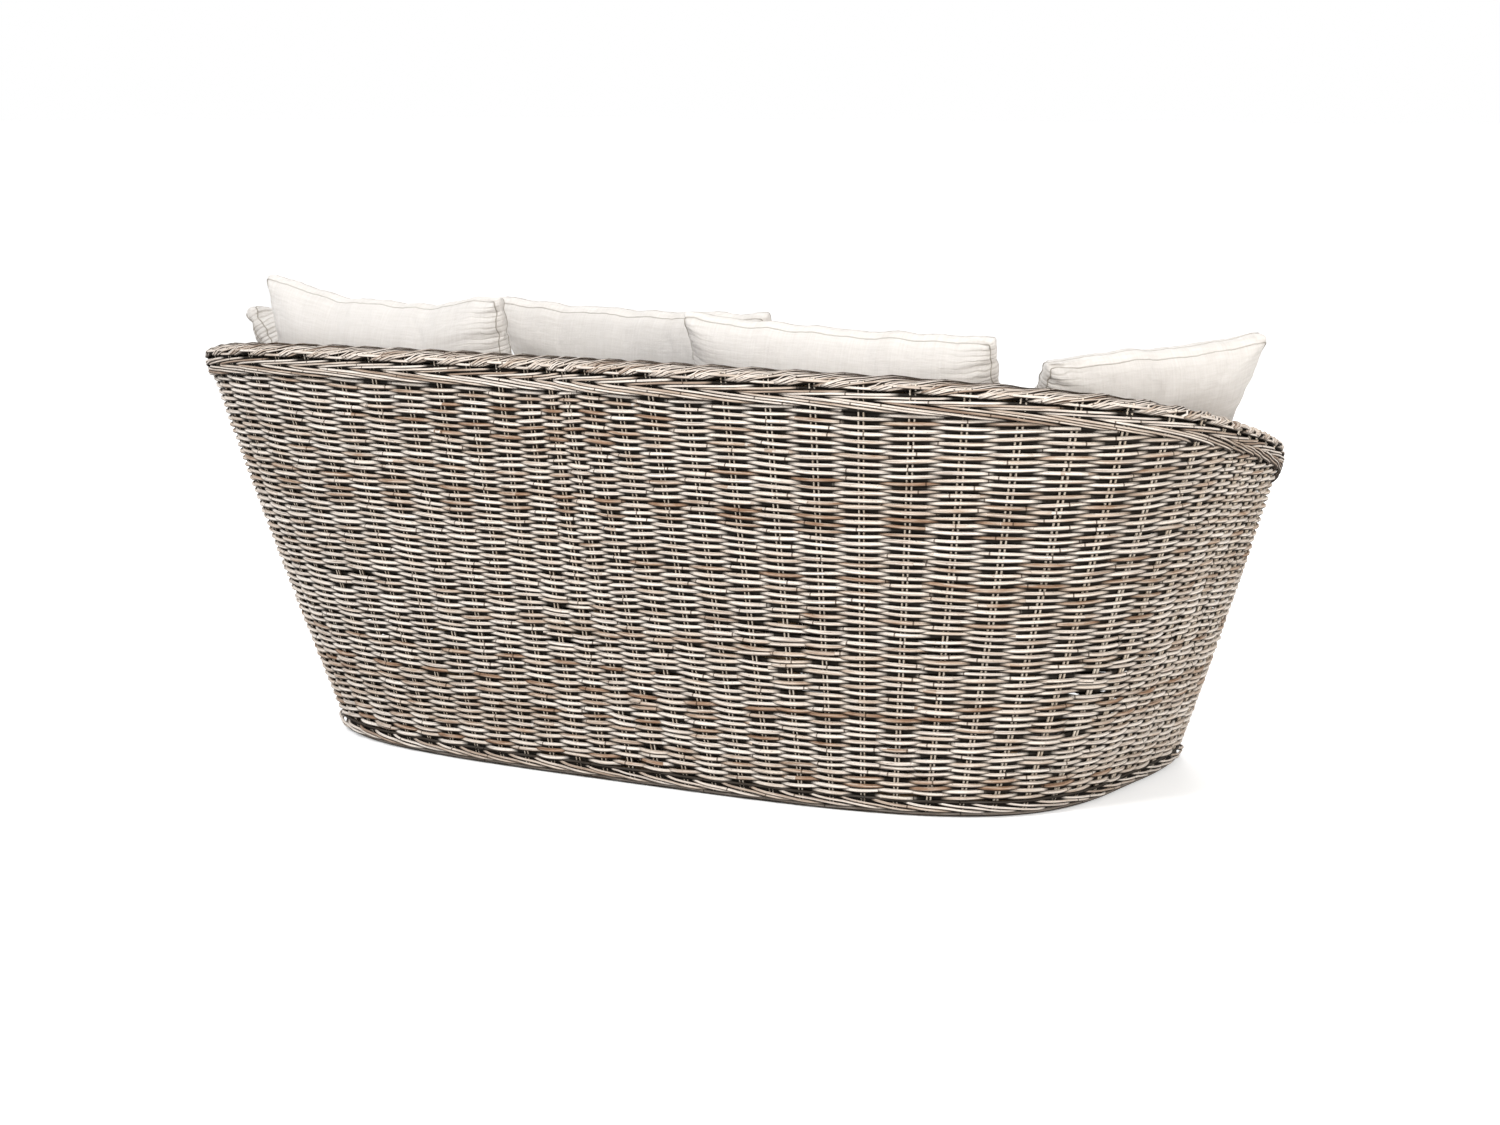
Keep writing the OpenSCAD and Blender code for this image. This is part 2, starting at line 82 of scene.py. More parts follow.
# %% A material's workbench
class Wire:
    def __init__(self, bench, socket):
        self.bench, self.socket = bench, socket

    def maths(self, operation, *others):
        return self.bench.node("ShaderNodeMath", {"operation": operation},
                               {i: v for i, v in enumerate((self,) + others)})

    def __add__(self, other): return self.maths("ADD", other)
    def __mul__(self, other): return self.maths("MULTIPLY", other)
    def __sub__(self, other): return self.maths("SUBTRACT", other)
    def __rsub__(self, other): return self.bench.number(other).maths("SUBTRACT", self)
    __radd__, __rmul__ = __add__, __mul__
    def absolute(self): return self.maths("ABSOLUTE")
    def above(self, edge): return self.maths("GREATER_THAN", edge)
    def power(self, p): return self.maths("POWER", p)
    def fraction(self): return self.maths("FRACT")
    def sine(self): return self.maths("SINE")
    def clamp(self): return self.maths("MAXIMUM", 0.0).maths("MINIMUM", 1.0)


class Bench:
    def __init__(self, name):
        self.material = bpy.data.materials.new(name)
        self.material.use_nodes = True
        self.tree = self.material.node_tree
        self.shader = self.tree.nodes["Principled BSDF"]

    def number(self, value):
        return self.node("ShaderNodeMath", {"operation": "ADD"}, {0: value, 1: 0})

    def set(self, socket, value):
        if isinstance(value, Wire):
            self.tree.links.new(value.socket, socket)
        elif socket.type == "RGBA" and len(value) == 3:
            socket.default_value = (*value, 1)
        else:
            socket.default_value = value

    def node(self, kind, settings={}, inputs={}, out=0, stops=None):
        node = self.tree.nodes.new(kind)
        for key, value in settings.items():
            setattr(node, key, value)
        if stops:
            elements = node.color_ramp.elements
            while len(elements) < len(stops):
                elements.new(0.5)
            for element, (place, colour) in zip(elements, stops):
                element.position = place
                element.color = (*colour, 1)
        for key, value in inputs.items():
            self.set(node.inputs[key], value)
        return Wire(self, node.outputs[out])

    def attribute(self, name):
        return self.node("ShaderNodeAttribute", {"attribute_name": name}, out="Fac")

    def vector(self, x, y, z):
        return self.node("ShaderNodeCombineXYZ", {}, {0: x, 1: y, 2: z})

    def noise(self, vector, scale=1.0, detail=2.0, roughness=0.5):
        return self.node("ShaderNodeTexNoise", {}, {"Vector": vector, "Scale": scale, "Detail": detail,
                                                    "Roughness": roughness})

    def mix(self, share, a, b):
        return self.node("ShaderNodeMix", {"data_type": "RGBA"}, {0: share, 6: a, 7: b}, out=2)

    def ramp(self, share, stops):
        return self.node("ShaderNodeValToRGB", {}, {0: share}, stops=stops)

    def where(self):
        return self.node("ShaderNodeTexCoord", out="Object")

    def finish(self, colour, roughness, height, reach, **constant):
        """Wires up the shader. reach is how high the surface stands where height is 1."""
        bump = self.node("ShaderNodeBump", {}, {"Height": height, "Distance": reach, "Strength": 1.0})
        self.set(self.shader.inputs["Base Color"], colour)
        self.set(self.shader.inputs["Roughness"], roughness)
        self.set(self.shader.inputs["Normal"], bump)
        for key, value in constant.items():
            self.shader.inputs[key.replace("_", " ")].default_value = value
        print("material", self.material.name, len(self.tree.nodes), "nodes")
        return self.material


# %% [markdown]
# ## The tub's shape
# The tub is a squared-off oval on the floor that flares into a larger one at the back rim's height, and
# its wall bellies out a little on the way. The rim is cut through it along a scoop that is low in front.
# These are the same few sizes as in the solids, so that the strands lie where the solids are.

# %% The wall as functions of place, height and depth
def spow(v, p):
    return np.sign(v) * np.abs(v) ** p


def oval(t, length, depth, squareness):
    return np.stack([length / 2 * spow(np.cos(t), 2 / squareness),
                     depth / 2 * spow(np.sin(t), 2 / squareness)], -1)


STAKES = 76
BACK, FRONT = 702 * MM, 360 * MM
FLOOR_LENGTH, FLOOR_DEPTH, FLOOR_SQUARENESS, FLOOR_FORWARD = 1.454, 0.820, 3.6, 0.070
TOP_LENGTH, TOP_DEPTH, TOP_SQUARENESS = 2.0, 1.015, 2.8
BELLY = 0.12
ROLL = 17 * MM


def floor_line(t):
    return oval(t, FLOOR_LENGTH, FLOOR_DEPTH, FLOOR_SQUARENESS) - np.array([0, FLOOR_FORWARD])


def top_line(t):
    return oval(t, TOP_LENGTH, TOP_DEPTH, TOP_SQUARENESS)


def flat_wall(t, z):
    s = np.asarray(z / BACK)[..., None]
    return floor_line(t) + (top_line(t) - floor_line(t)) * (s + BELLY * s * (1 - s))


quarter_turn = np.pi / 2
middle_y = (flat_wall(quarter_turn, BACK - ROLL)[1] + flat_wall(-quarter_turn, FRONT - ROLL)[1]) / 2

angles = np.linspace(0, 2 * np.pi, 5761)
walked = np.concatenate([[0], np.cumsum(np.linalg.norm(np.diff(floor_line(angles), axis=0), axis=1))])


def turn_at(place):
    """The oval's angle at a place round the tub, counted in stake pairs, which are even along the floor."""
    whole = np.floor(place / STAKES)
    return np.interp((place / STAKES - whole) * walked[-1], walked, angles) + whole * 2 * np.pi


def outward(place, z):
    """The level direction that points straight out of the wall."""
    t = turn_at(place)
    along = flat_wall(t + 0.01, z) - flat_wall(t - 0.01, z)
    n = np.stack([along[..., 1], -along[..., 0], np.zeros_like(along[..., 0])], -1)
    return unit(n)


def rim(place):
    """The rim's height. Its scoop is low at the front of the oval and full at the back."""
    back_share = (1 + spow(np.sin(turn_at(place)), 2 / TOP_SQUARENESS)) / 2
    return FRONT + (BACK - FRONT) * np.sqrt(back_share)


def on_wall(place, z, depth):
    """A point at a depth inside the border's face, at a place round the tub and a height."""
    z = np.broadcast_to(z, np.shape(place))
    flat = flat_wall(turn_at(place), z) - np.array([0, middle_y])
    p = np.concatenate([flat, z[..., None]], -1)
    return p - outward(place, z) * np.broadcast_to(depth, np.shape(place))[..., None]


rim_heights = rim(np.linspace(0, STAKES, 1521))
print("rim from", round(rim_heights.min(), 3), "to", round(rim_heights.max(), 3))

# %% [markdown]
# ## Strands
# A strand is a thin round or oval tube along a path. Many strands of one kind go into one mesh, because
# one object for each would be slow. Every point of the mesh keeps what its strand is like: its tone, how
# far along it lies, how far round towards its underside, and how deep in the weave it is. The material
# reads those, and paints shade from the last two.

# %% A bundle of strands in one mesh
def add_layer(piece, word, values):
    layer = piece.data.attributes.new(word, "FLOAT", "POINT")
    layer.data.foreach_set("value", values.astype(np.float32))


class Bundle:
    def __init__(self, sides=6):
        self.sides, self.points, self.faces, self.kept, self.count = sides, [], [], [], 0

    def strand(self, path, normal, out, high, tone, deep):
        """Adds a tube along a path. out is half its size along the normal, high is half its other size."""
        n, m = len(path), self.sides
        heading = unit(np.gradient(path, axis=0))
        rise = unit(np.cross(heading, normal))
        face = np.cross(rise, heading)
        angle = 2 * np.pi * (np.arange(m) + 0.5) / m
        out, high = np.broadcast_to(out, n), np.broadcast_to(high, n)
        ring = (face[:, None] * np.cos(angle)[None, :, None] * out[:, None, None]
                + rise[:, None] * np.sin(angle)[None, :, None] * high[:, None, None])
        rings = np.concatenate([path[:1, None] + ring[:1] * 0.1, path[:, None] + ring,
                                path[-1:, None] + ring[-1:] * 0.1])
        along = np.concatenate([[0], np.cumsum(np.linalg.norm(np.diff(path, axis=0), axis=1))])
        along = np.concatenate([along[:1], along, along[-1:]])
        deep = np.broadcast_to(deep, n)
        deep = np.concatenate([deep[:1], deep, deep[-1:]])
        i, j = np.meshgrid(np.arange(n + 1), np.arange(m), indexing="ij")
        a, b = i * m + j, i * m + (j + 1) % m
        self.faces.append(np.stack([a, b, b + m, a + m], -1).reshape(-1, 4) + self.count)
        self.points.append(rings.reshape(-1, 3))
        self.kept.append(np.stack([np.full((n + 2) * m, tone), np.repeat(along, m),
                                   np.tile(np.sin(angle), n + 2), np.repeat(deep, m)], -1))
        self.count += (n + 2) * m

    def build(self, name, material, body, slot, *nodes):
        piece = mesh_object(name, np.concatenate(self.points), np.concatenate(self.faces))
        kept = np.concatenate(self.kept)
        for k, word in enumerate(("tone", "along", "low", "deep")):
            add_layer(piece, word, kept[:, k])
        dress(piece, material, body, slot, *nodes)
        print(name, len(piece.data.polygons) * 2, "triangles")


def mesh_object(name, points, quads):
    mesh = bpy.data.meshes.new(name)
    mesh.vertices.add(len(points))
    mesh.vertices.foreach_set("co", np.asarray(points, np.float32).ravel())
    mesh.loops.add(quads.size)
    mesh.loops.foreach_set("vertex_index", np.asarray(quads, np.int32).ravel())
    mesh.polygons.add(len(quads))
    mesh.polygons.foreach_set("loop_start", np.arange(len(quads), dtype=np.int32) * 4)
    mesh.update(calc_edges=True)
    mesh.shade_smooth()
    piece = bpy.data.objects.new(name, mesh)
    bpy.context.scene.collection.objects.link(piece)
    return piece


def dress(piece, material, body, slot, *nodes):
    piece.data.materials.clear()
    piece.data.materials.append(material)
    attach(piece, body)
    if nodes:
        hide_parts(*nodes)


# %% [markdown]
# ## Cane, the strand's finish
# Natural cane runs from cream over greige to brown, and each strand has its own tone, with stains along
# it. Fine streaks run along it and thin dark rings mark its joints. Shade is painted under it and where it
# dives into the weave, where it is nearly black.

# %% The cane materials
STAIN, JOINT, SPECK = (0.16, 0.09, 0.055), (0.05, 0.028, 0.016), (0.06, 0.032, 0.02)
UNDERSIDE_SHADE, WEAVE_SHADOW = (0.022, 0.013, 0.008), (0.008, 0.006, 0.004)
JOINTS_PER_METRE = 4.6


def cane(name, stops, shadow_strength, spread=0.62):
    """Cane with a ramp of tones. The third argument is how strongly painted shade darkens what lies
    deep in the weave, and spread is how far the tones differ.
    """
    b = Bench(name)
    tone, along, low, deep = (b.attribute(w) for w in ("tone", "along", "low", "deep"))
    patches = b.noise(b.vector(along * 22, tone * 61, low * 1.3), 1.0, 4.0, 0.66)
    shade = tone * spread + (patches - 0.5) * 1.15 + (1 - spread) * 0.45
    colour = b.ramp(shade, stops)
    fibres = b.noise(b.vector(along * 14, low * 3.2, tone * 31), 1.0, 3.0, 0.6)
    colour = b.mix(((fibres - 0.50) * 7).clamp() * 0.66, colour, STAIN)
    joint = (along * JOINTS_PER_METRE + tone * 13).fraction()
    ring = ((0.014 - joint) * 130).clamp()
    colour = b.mix(ring * 0.85, colour, JOINT)
    specks = b.noise(b.vector(along * 210, low * 2.5, tone * 53), 1.0, 1.0).above(0.70)
    colour = b.mix(specks * 0.5, colour, SPECK)
    # Painted shade: the underside of every strand goes nearly black, and so does what lies deep in the
    # weave.
    colour = b.mix((low * 2.3 - 0.36).clamp() * 0.96, colour, UNDERSIDE_SHADE)
    colour = b.mix((deep * 3.0 - 1.15).clamp() * shadow_strength, colour, WEAVE_SHADOW)
    return b.finish(colour, 0.55 + fibres * 0.25, fibres + ring * 0.8, 0.6 * MM, Specular_IOR_Level=0.12)


weave_cane = cane("weave_cane", [(0.0, (0.88, 0.82, 0.76)), (0.42, (0.77, 0.69, 0.61)),
                                 (0.64, (0.57, 0.46, 0.37)), (0.82, (0.34, 0.21, 0.135)),
                                 (1.0, (0.15, 0.08, 0.05))], 0.98)
border_cane = cane("border_cane", [(0.0, (0.90, 0.84, 0.78)), (0.38, (0.75, 0.67, 0.595)),
                                   (0.62, (0.50, 0.40, 0.32)), (1.0, (0.17, 0.095, 0.06))], 0.97)
stake_cane = cane("stake_cane", [(0.0, (0.90, 0.84, 0.75)), (0.6, (0.78, 0.68, 0.56)),
                                 (1.0, (0.55, 0.43, 0.31))], 0.35, 0.5)

# %% [markdown]
# ## The woven wall
# The wall is plain weave: each strand passes outside one pair of stakes and inside the next, and the row
# above does the opposite. Rows lie level and end where the rim's band cuts them off. A row isn't one long
# strand but several, whose ends hide behind a stake.

# %% Rows of plain weave
def tone_draw():
    """Mostly pale strands, some tan and a few brown ones."""
    return float(np.clip(chance.beta(1.5, 2.8) + (0.45 if chance.random() < 0.08 else 0), 0, 1))


def sway(place, z):
    """Rows are beaten down by hand, so they wander a little, and all alike."""
    return (1.6 * np.sin(place * 0.47 + z * 7) + 1.1 * np.sin(place * 1.13 - z * 15 + 1)
            + 0.7 * np.sin(place * 2.9 + z * 31)) * MM


SHORTEST, LONGEST, WOBBLE = 5, 16, 0.6 * MM


def row_run(z, top_drop):
    """Where a row at this height starts and ends, in places, or None above the rim."""
    open_places = rim(np.arange(STAKES * 4) / 4) - top_drop > z
    if not open_places.any():
        return None
    if open_places.all():
        start = float(chance.integers(0, STAKES))
        return start, start + STAKES
    if open_places[0]:
        shut = np.nonzero(~open_places)[0]
        return (shut.max() + 1) / 4 - STAKES, (shut.min() - 1) / 4
    clear = np.nonzero(open_places)[0]
    return clear.min() / 4, clear.max() / 4


def weave_rows(heights, top_drop, middle, swing, out, high, per_stake, locate):
    """Yields the row, path, normal, sizes, tone and depth of every strand of every row."""
    wobble = chance.normal(0, 1, (len(heights) + 1, STAKES + 1))
    for row, z in enumerate(heights):
        start, last = row_run(z, top_drop) or (0, 0)
        while start < last - 0.6:
            end = start + float(chance.integers(SHORTEST, LONGEST + 1))
            end = last if end > last - 4 else end
            n = max(6, int(round((end - start) * per_stake)) + 1)
            reach = float(chance.choice([0.1, 0.1, 0.42, 0.8]))
            place = np.linspace(start - 0.12, end + reach, n)
            phase = np.cos(np.pi * (place - 0.5) + np.pi * row)
            tall = np.interp(phase, (-1, -0.35, 0.1, 1), (1.45, 1.15, 0.88, 1))
            lift = np.interp(place % STAKES, np.arange(STAKES + 1), wobble[row]) * WOBBLE
            thick = float(np.clip(chance.normal(1, 0.09), 0.82, 1.2))
            height = z + lift + sway(place, z)
            tuck = np.clip((place - end) / 0.3, 0, 1) * 1.5 * MM
            path = locate(place, height, middle - swing * phase - tuck)
            yield (row, path, outward(place, height), out * thick, high * thick * tall, tone_draw(),
                   0.5 - 0.5 * phase)
            start = end


ROW_PITCH = 5.75 * MM
STAKE_DEPTH = 14.0 * MM
BORDER = 54 * MM
FOOT_TOP = 27 * MM
WALL_PARTS = 4
wall_rows = np.arange(FOOT_TOP + ROW_PITCH / 2, BACK - BORDER - 1 * MM, ROW_PITCH)
wall_strands = weave_rows(wall_rows, top_drop=BORDER - 2 * MM, middle=STAKE_DEPTH, swing=5.2 * MM,
                          out=2.8 * MM, high=3.4 * MM, per_stake=6, locate=on_wall)
walls = [Bundle() for _ in range(WALL_PARTS)]
for row, path, normal, out, high, tone, deep in wall_strands:
    walls[row * WALL_PARTS // len(wall_rows)].strand(path, normal, out, high, tone, deep)
for k, bundle in enumerate(walls):
    bundle.build(f"woven_wall_{k + 1}", weave_cane, "tub", "woven_cane", "outer_weave")

# %% [markdown]
# ## The woven lining
# The tub's inside has its own skin, which stands on the seat hoop and goes up to the rolled rim. It is
# straight from bottom to top, like the posts behind it.

# %% The lining
LINING_FOOT = 253 * MM
LINING_DEPTH = 63.4 * MM
UNDER_ROLL = 20 * MM


def on_lining(place, z, depth):
    """A point on the lining, which is straight from its foot to its top."""
    top = rim(place) - UNDER_ROLL
    low = on_wall(place, np.full(np.shape(place), LINING_FOOT), depth)
    high = on_wall(place, top, depth)
    share = ((z - LINING_FOOT) / (top - LINING_FOOT))[..., None]
    return low + (high - low) * share


lining_rows = np.arange(LINING_FOOT + 4 * MM, BACK - UNDER_ROLL - 3 * MM, ROW_PITCH)
lining_strands = weave_rows(lining_rows, top_drop=UNDER_ROLL + 3 * MM, middle=LINING_DEPTH, swing=5.0 * MM,
                            out=2.8 * MM, high=3.25 * MM, per_stake=5, locate=on_lining)
linings = [Bundle(), Bundle()]
for row, path, normal, out, high, tone, deep in lining_strands:
    linings[row * 2 // len(lining_rows)].strand(path, normal, out, high, tone, 1 - deep)
for k, bundle in enumerate(linings):
    bundle.build(f"woven_lining_{k + 1}", weave_cane, "tub", "woven_cane", "lining_weave")

# %% [markdown]
# ## Twin stakes
# The uprights stand in pairs, a finger's width apart, from the foot border to the rolled rim. They show
# as short pale dashes where the strands part, and in a row just under the roll.

# %% The stakes
STAKE_RADIUS, HALF_APART = 2.2 * MM, 3.4 * MM


def stand_stakes(name, locate, foot, head, depth, node):
    """Both stakes of every pair, from the height foot up to head below the rim."""
    bundle = Bundle()
    for k in range(STAKES):
        for side in (-1, 1):
            place = k + 0.5
            pitch_here = np.linalg.norm(on_wall(place + 0.5, 0.3, 0) - on_wall(place - 0.5, 0.3, 0))
            height = np.linspace(foot, rim(place) - head, 18)
            row = np.full(18, place + side * HALF_APART / pitch_here)
            path = locate(row, height, depth)
            bundle.strand(path, outward(row, height), STAKE_RADIUS, STAKE_RADIUS, chance.random(), 0.15)
    bundle.build(name, stake_cane, "tub", "stake_cane", node)


stand_stakes("standing_stakes", on_wall, 5 * MM, 8 * MM, STAKE_DEPTH, "stakes")
stand_stakes("lining_standing_stakes", on_lining, LINING_FOOT, 15 * MM, LINING_DEPTH, "lining_stakes")

# %% [markdown]
# ## Borders
# Three borders tie the weave off. Under the rim, long strands run in front of some stakes and behind the
# next, each a little lower than the last, which makes a rope-like band. Its upper row slants the other
# way. Two rows of plain weave follow, with thick strands behind them and behind the whole band, so that no
# light comes through; these are painted nearly black as shade. Over them is the rolled rim. The foot has a
# narrower band of the same kind. Where strands pass behind the stakes, shade is painted on them.

# %% The band under the rim and the foot band
def smooth(x):
    x = np.clip(x, 0, 1)
    return x * x * (3 - 2 * x)


def slanting(bundle, span, height_at, face, behind, radius):
    """One strand for every stake pair, in front of span - 1 of them and behind its two ends."""
    for k in range(STAKES):
        u = np.linspace(-0.12, span + 0.12, span * 7 + 3)
        place = k + 0.5 + u
        front = smooth(u / 0.75) * smooth((span - u) / 0.75)
        depth = behind + (face - behind) * front
        bulge = 0.8 * MM * np.cos(2 * np.pi * u) * front
        jitter = chance.normal(0, 0.45) * MM + 0.5 * MM * np.sin(u * 2.2 + k * 1.7)
        height = height_at(place, u / span) + jitter
        thick = radius * float(np.clip(chance.normal(1, 0.08), 0.82, 1.18))
        # Painted shade: the strand darkens at its ends, where it goes behind the stakes.
        bundle.strand(on_wall(place, height, depth - bulge), outward(place, height), thick, thick,
                      tone_draw(), 1 - front)


PLAIN_DROPS, BACKING_DROPS = (12.5, 19.0), (25.5, 31.0, 36.5, 42.0, 47.5, 53.0)
band = Bundle(8)
slanting(band, 4, lambda place, s: rim(place) - (34.5 + 18 * s) * MM, 3.4 * MM, 17 * MM, 2.2 * MM)
slanting(band, 3, lambda place, s: rim(place) - (36.5 - 12.5 * s) * MM, 3.8 * MM, 15 * MM, 2.1 * MM)
for row, drop in enumerate(PLAIN_DROPS + BACKING_DROPS):
    plain = row < len(PLAIN_DROPS)
    swing, thick = (8.5 * MM, 2.3 * MM) if plain else (2.5 * MM, 3.0 * MM)
    middle = STAKE_DEPTH if plain else STAKE_DEPTH + 3 * MM
    start = float(chance.integers(0, 9))
    ring_end = start + STAKES
    while start < ring_end - 0.5:
        end = min(start + float(chance.integers(5, 11)), ring_end)
        place = np.linspace(start - 0.3, end + 0.3, int((end - start) * 7) + 4)
        phase = np.cos(np.pi * (place - 0.5) + np.pi * row)
        height = rim(place) - drop * MM + chance.normal(0, 0.3) * MM
        # Painted shade: plain rows darken where they pass behind a stake, and the backing rows are nearly
        # black.
        band.strand(on_wall(place, height, middle - swing * phase), outward(place, height), thick, thick,
                    tone_draw(), 0.5 - 0.5 * phase if plain else 0.75)
        start = end
band.build("rim_band", border_cane, "tub", "border_cane", "rim_wale")

# Each ring's height, depth and half thickness in millimetres, and how much painted shade darkens it. The
# last three back the others and are hidden.
FOOT_RINGS = ((5.6, 9.5, 2.6, 0.6), (25.2, 10.5, 2.4, 0.7),
              (10, 15, 3.2, 1), (16, 15, 3.2, 1), (22, 15, 3.2, 1))
foot = Bundle(8)
slanting(foot, 3, lambda place, s: (24 - 17 * s) * MM, 3.1 * MM, 16 * MM, 2.1 * MM)
place = np.linspace(0, STAKES, STAKES * 6 + 1)
for z, depth, thick, deep in FOOT_RINGS:
    wave = 0.6 * MM * np.sin(place * 1.9 + z)
    foot.strand(on_wall(place, z * MM + wave, depth * MM), outward(place, z * MM), thick * MM, thick * MM,
                tone_draw(), deep)
foot.build("foot_band", border_cane, "tub", "border_cane", "foot_border")

# %% [markdown]
# ## The rolled rim
# Between every two stake pairs a bundle of strands comes up out of the weave, arches over the next pairs
# on a long slant, crosses the rim and dives down behind the lining. The next bundle lies against it. The
# middle strands of a bundle stand highest, which gives the rim its scalloped line. Four thicker strands
# fill each bundle from below.

# %% The roll
HALF_WIDTH, MIDDLE_DEPTH, RAISE = 39.5 * MM, 42 * MM, 2.4 * MM
TRAVEL = 3.4  # stake pairs that a strand passes on its way over the rim
roll = Bundle(6)


def arch(k, side, steps, thin, wide, sunk, hidden):
    """One strand of bundle k. It starts outside, travels along the rim over it and ends inside.
    side goes from -1 to 1 across the bundle, and sunk is how far the strand lies under the others."""
    v = np.linspace(-0.10, 1.12, steps)
    angle = np.pi * (0.48 * (1 - np.exp(-v / 0.3)) + 0.54 * v)
    fan = 0.20 + 0.29 * smooth(v / 0.16) - 0.12 * smooth((v - 0.6) / 0.5)
    raised = RAISE * (1 - side * side) * (0.8 + 0.4 * smooth(v * 3)) - sunk - thin - RAISE
    depth = MIDDLE_DEPTH - (HALF_WIDTH + raised) * np.cos(angle)
    tall = np.maximum((ROLL + raised) * np.sin(angle), -6 * MM)
    place = k - 0.09 + TRAVEL * v + side * fan + chance.normal(0, 0.012)
    scallop = 1.8 * MM * (np.cos(2 * np.pi * place) - 1) * np.sin(angle)
    height = rim(place) - ROLL + tall + scallop + chance.normal(0, 0.25) * MM
    n = outward(place, height)
    lean = np.cos(angle)[:, None] * n + np.sin(angle)[:, None] * np.array([0, 0, 1.0])
    thick = float(np.clip(chance.normal(1, 0.08), 0.85, 1.15))
    # Painted shade: a strand darkens where it dips under at either end, and the thick filler strands are
    # nearly black throughout.
    deep = np.maximum(np.clip(-tall / (4 * MM), 0, 1), hidden)
    roll.strand(on_wall(place, height, depth), unit(lean), thin * thick, wide * thick, tone_draw(), deep)


for k in range(STAKES):
    for side in (-0.75, -0.25, 0.25, 0.75):
        arch(k, side, steps=10, thin=2.6 * MM, wide=3.8 * MM, sunk=2.4 * MM, hidden=0.8)
    for j in range(7):
        arch(k, (j - 3) / 3, steps=17, thin=1.6 * MM, wide=2.1 * MM, sunk=0.9 * MM * (j % 2), hidden=0)
roll.build("rolled_rim", border_cane, "tub", "border_cane", "rim_roll")

# %% [markdown]
# ## Poles, slats and glides
# The solids of the frame are already right, so they only get their finishes: debarked poles with a
# cloudy, finely grained tone, oiled slats with a lengthwise grain, plated screws and moulded glides.

# %% Frame finishes
def pole_finish():
    b = Bench("pole_rattan")
    cloud = b.noise(b.where(), 6.0, 4.0)
    grain = b.noise(b.where(), 160.0, 3.0, 0.6)
    colour = b.ramp(cloud * 0.7 + grain * 0.3,
                    [(0.30, (0.36, 0.22, 0.11)), (0.55, (0.56, 0.38, 0.21)), (0.80, (0.68, 0.50, 0.30))])
    return b.finish(colour, 0.35 + grain * 0.2, grain, 0.4 * MM)


def slat_finish():
    b = Bench("slat_wood")
    stretched = b.node("ShaderNodeMapping", {}, {"Vector": b.where(), "Scale": (1.2, 26.0, 26.0)})
    grain = b.noise(stretched, 4.0, 6.0, 0.62)
    colour = b.ramp(grain, [(0.32, (0.30, 0.17, 0.08)), (0.52, (0.50, 0.32, 0.17)),
                            (0.72, (0.60, 0.42, 0.25))])
    return b.finish(colour, 0.42 + grain * 0.2, grain, 0.5 * MM)


def plain_finish(name, low, high, rough, metal):
    b = Bench(name)
    wear = b.noise(b.where(), 420.0, 3.0)
    return b.finish(b.mix(wear, low, high), rough + wear * 0.2, wear, 0.1 * MM, Metallic=metal)


finishes = (
    (pole_finish(), ("foot_hoop", "seat_hoop", "rim_hoop", "back_posts", "end_posts", "front_posts",
                     "centre_legs", "seat_bearers")),
    (slat_finish(), ("seat_slats",)),
    (plain_finish("screw_steel", (0.50, 0.50, 0.49), (0.66, 0.66, 0.64), 0.25, 1.0), ("slat_screws",)),
    (plain_finish("glide_plastic", (0.03, 0.028, 0.025), (0.06, 0.055, 0.05), 0.5, 0.0), ("glides",)),
)
for material, names in finishes:
    for name in names:
        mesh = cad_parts[name].data
        mesh.materials.clear()
        mesh.materials.append(material)
print("finished", sum(len(names) for _, names in finishes), "nodes")

# %% [markdown]
# ## Linen
# The covers are undyed linen: off-white, with fine crossing threads, some thicker than others, and a
# soft, slightly uneven tone. Near the side seams, where the cloth is drawn in, fine creases run inwards.
# They are too fine for the mesh, so the material adds them.

# %% The linen
THREAD, CREASE = 1.1 * MM, 8.5 * MM
SEAM_SHADE, CREASE_SHADE = (0.30, 0.26, 0.21), (0.42, 0.375, 0.32)


def linen(name, light, shade):
    b = Bench(name)
    across, along, edge, drawn = (b.attribute(w) for w in ("across", "along", "deep", "drawn"))

    def spots(by_across, by_along, seed):
        return b.noise(b.vector(across * by_across, along * by_along, seed))

    weave = (across * (2 * math.pi / THREAD)).sine() * (along * (2 * math.pi / THREAD)).sine()
    slubs = spots(900, 40, 0.0) + spots(40, 900, 3.0)
    threads = spots(300, 14, 7.0) + spots(14, 300, 9.0)
    cloud = b.noise(b.where(), 9.0, 3.0)
    ripple = (along * (2 * math.pi / CREASE) + spots(30, 55, 2.0) * 9).sine()
    crease = drawn * (ripple * 0.5 + 0.5).power(3)
    colour = b.mix((slubs - 0.75) * 0.8 + (threads - 1) * 1.1 + cloud * 0.35, light, shade)
    colour = b.mix(crease * 0.4, colour, CREASE_SHADE)
    colour = b.mix(edge * 0.5, colour, SEAM_SHADE)
    lumps = b.noise(b.where(), 60.0, 3.0)
    height = crease * -2.2 + weave * 0.35 + slubs * 0.8 + threads * 0.7 + lumps * 0.7
    return b.finish(colour, 0.86 + cloud * 0.08, height, 0.7 * MM, Sheen_Weight=0.25, Sheen_Roughness=0.5,
                    Specular_IOR_Level=0.2)


loose_linen = linen("loose_linen", (0.87, 0.84, 0.81), (0.76, 0.725, 0.685))
seat_linen = linen("seat_linen", (0.81, 0.775, 0.73), (0.70, 0.66, 0.60))

# %% [markdown]
# ## Loose cushions
# A loose cushion is two panels and a narrow strip between them, stuffed until it swells. It starts here
# as a slim form with the panels' own grid, so that its seams are known lines of points.

# %% A slim cushion, panels and strip
CELL, HOLLOW = 6.0 * MM, 3 * MM


